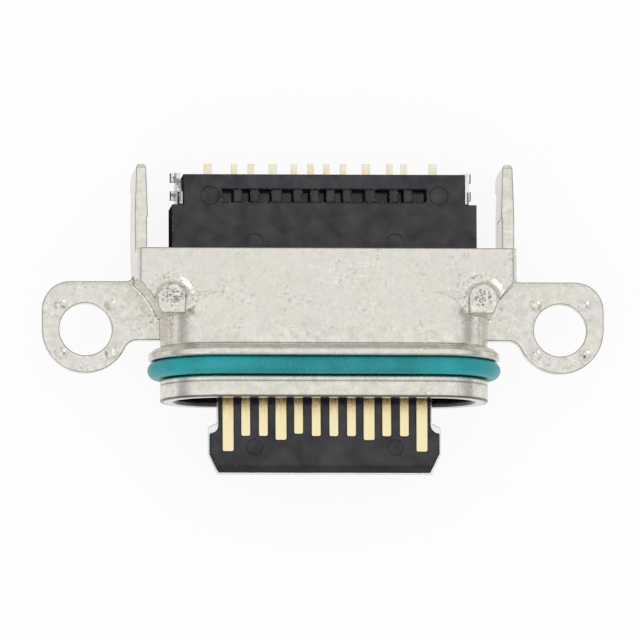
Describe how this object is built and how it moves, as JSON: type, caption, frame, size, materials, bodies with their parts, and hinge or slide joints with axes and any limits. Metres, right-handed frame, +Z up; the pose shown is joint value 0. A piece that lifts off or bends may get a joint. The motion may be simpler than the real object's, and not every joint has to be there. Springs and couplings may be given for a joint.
{
  "type": "charging port",
  "caption": "Sealed charging port: oval steel shell with a seal ring, screw ears and rear legs, round a flat tongue with gold contacts and solder tails.",
  "frame": {"origin": "middle of the oval mouth, in the plane of the ring's front face", "axes": "+X from the left to the right ear, +Y from the mouth to the solder tails, +Z up, away from the solder plane"},
  "size_m": [0.016, 0.009, 0.004],
  "materials": {
    "sintered_steel": "tumbled sintered stainless steel, fine satin",
    "silicone": "satin teal silicone rubber",
    "epoxy": "glossy black epoxy",
    "black_polymer": "matte black liquid crystal polymer",
    "sheet_steel": "bright rolled sheet steel",
    "gold_plating": "satin gold plating on copper alloy"
  },
  "bodies": {
    "root": {"shell": "sintered_steel", "seal_ring": "silicone", "potting": "epoxy", "upper_insulator": "black_polymer", "lower_insulator": "black_polymer", "mid_plate": "sheet_steel", "upper_ground_plate": "sheet_steel", "lower_ground_plate": "sheet_steel", "upper_contact_1": "gold_plating", "upper_contact_2": "gold_plating", "upper_contact_3": "gold_plating", "upper_contact_4": "gold_plating", "upper_contact_5": "gold_plating", "upper_contact_6": "gold_plating", "upper_contact_7": "gold_plating", "upper_contact_8": "gold_plating", "upper_contact_9": "gold_plating", "upper_contact_10": "gold_plating", "upper_contact_11": "gold_plating", "upper_contact_12": "gold_plating", "lower_contact_1": "gold_plating", "lower_contact_2": "gold_plating", "lower_contact_3": "gold_plating", "lower_contact_4": "gold_plating", "lower_contact_5": "gold_plating", "lower_contact_6": "gold_plating", "lower_contact_7": "gold_plating", "lower_contact_8": "gold_plating", "lower_contact_9": "gold_plating", "lower_contact_10": "gold_plating", "lower_contact_11": "gold_plating", "lower_contact_12": "gold_plating"}
  },
  "joints": []
}
